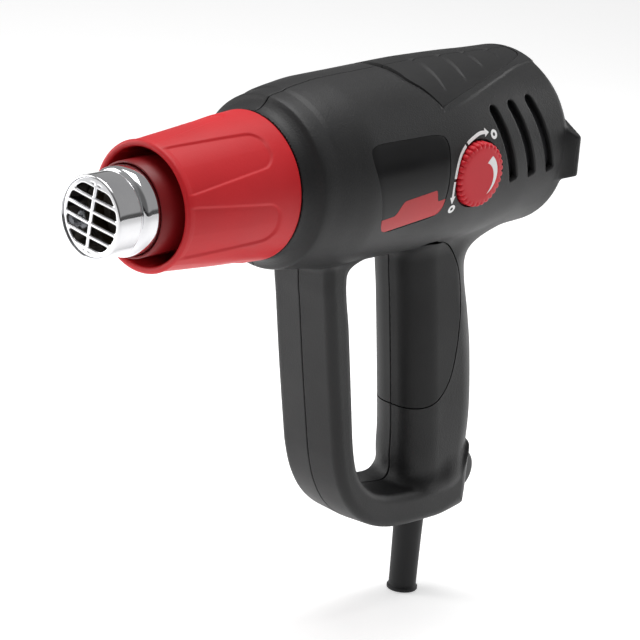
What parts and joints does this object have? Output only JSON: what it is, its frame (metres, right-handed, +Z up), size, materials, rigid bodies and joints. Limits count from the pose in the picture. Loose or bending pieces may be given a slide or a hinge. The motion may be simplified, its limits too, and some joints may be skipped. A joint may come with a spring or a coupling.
{
  "type": "heat gun",
  "caption": "Corded hot-air gun: chromed nozzle with grille, finned red guard, ribbed dark barrel with heat dial and closed D handle with rocker switch.",
  "frame": {"origin": "middle of the nozzle mouth, on the barrel's axis", "axes": "+X back along the barrel from the mouth to the tail, +Z up away from the handle, -Y towards the side with the heat dial; the housing is split at y = 0"},
  "size_m": [0.246, 0.0834, 0.2437],
  "materials": {
    "housing": "fine spark-textured dark grey nylon",
    "soft_grip": "satin soft-touch overmould",
    "label": "gloss black film with a red lower band, no lettering",
    "rating": "blank silver film",
    "guard": "satin moulded red",
    "liner": "satin moulded red",
    "nozzle": "bright plated steel",
    "mica": "rolled mica sheet",
    "ceramic": "unglazed ceramic",
    "resistance_wire": "oxidised resistance wire",
    "zinc_steel": "zinc-plated steel",
    "black_steel": "black-oxide steel",
    "inner_plastic": "plain moulded plastic",
    "fan": "natural nylon",
    "motor_core": "laminations and varnished windings",
    "copper": "turned copper",
    "motor_steel": "plated drawn steel",
    "magnet": "ferrite and carbon",
    "bronze": "sintered bronze",
    "foam": "open-cell foam",
    "board": "solder-masked glass fibre",
    "capacitor": "moulded film capacitor",
    "heatsink": "extruded aluminium",
    "pot": "moulded case",
    "shaft_plastic": "moulded shaft",
    "dial": "satin moulded red with a white mark",
    "switch": "satin moulded black",
    "brass_tab": "stamped brass",
    "boot": "soft rubber",
    "lead_white": "glass-braided lead",
    "lead_blue": "insulated lead"
  },
  "bodies": {
    "gun": {"housing_left": "housing", "housing_right": "housing", "top_grip_left": "soft_grip", "top_grip_right": "soft_grip", "grip_pad_left": "soft_grip", "grip_pad_right": "soft_grip", "label_plate": "label", "rating_plate": "rating", "guard": "guard", "liner": "liner", "nozzle_tube": "nozzle", "nozzle_grille": "nozzle", "mica_sleeve": "mica", "heater_former": "ceramic", "heater_coils": "resistance_wire", "heater_rod": "zinc_steel", "heater_disc": "mica", "thermal_cutout": "ceramic", "air_duct": "inner_plastic", "motor_can": "motor_steel", "motor_magnets": "magnet", "motor_end_cap": "inner_plastic", "front_bushing": "bronze", "rear_bushing": "bronze", "motor_brushes": "magnet", "motor_mount": "inner_plastic", "rear_grille": "housing", "dust_filter": "foam", "control_board": "board", "capacitor": "capacitor", "triac_heatsink": "heatsink", "potentiometer": "pot", "switch_body": "switch", "switch_terminals": "brass_tab", "cord_boot": "boot", "cord_clamp": "inner_plastic", "clamp_screws": "zinc_steel", "housing_screws": "black_steel", "heater_leads": "lead_white", "switch_leads": "lead_blue"},
    "fan": {"fan_impeller": "fan", "motor_shaft": "zinc_steel", "armature": "motor_core", "commutator": "copper"},
    "dial": {"dial": "dial", "dial_shaft": "shaft_plastic"},
    "rocker": {"switch_rocker": "switch"}
  },
  "joints": [
    {"name": "fan_spin", "type": "hinge", "parent": "gun", "child": "fan", "pos_m": [0.168, 0, 0], "axis": [1, 0, 0], "continuous": true},
    {"name": "dial_turn", "type": "hinge", "parent": "gun", "child": "dial", "pos_m": [0.1833, -0.036, 0.0003], "axis": [0, -1, 0], "range_deg": [-135, 135]},
    {"name": "rocker_tilt", "type": "hinge", "parent": "gun", "child": "rocker", "pos_m": [0.2274, 0, -0.15], "axis": [0, 1, 0], "range_deg": [-14, 14]}
  ]
}
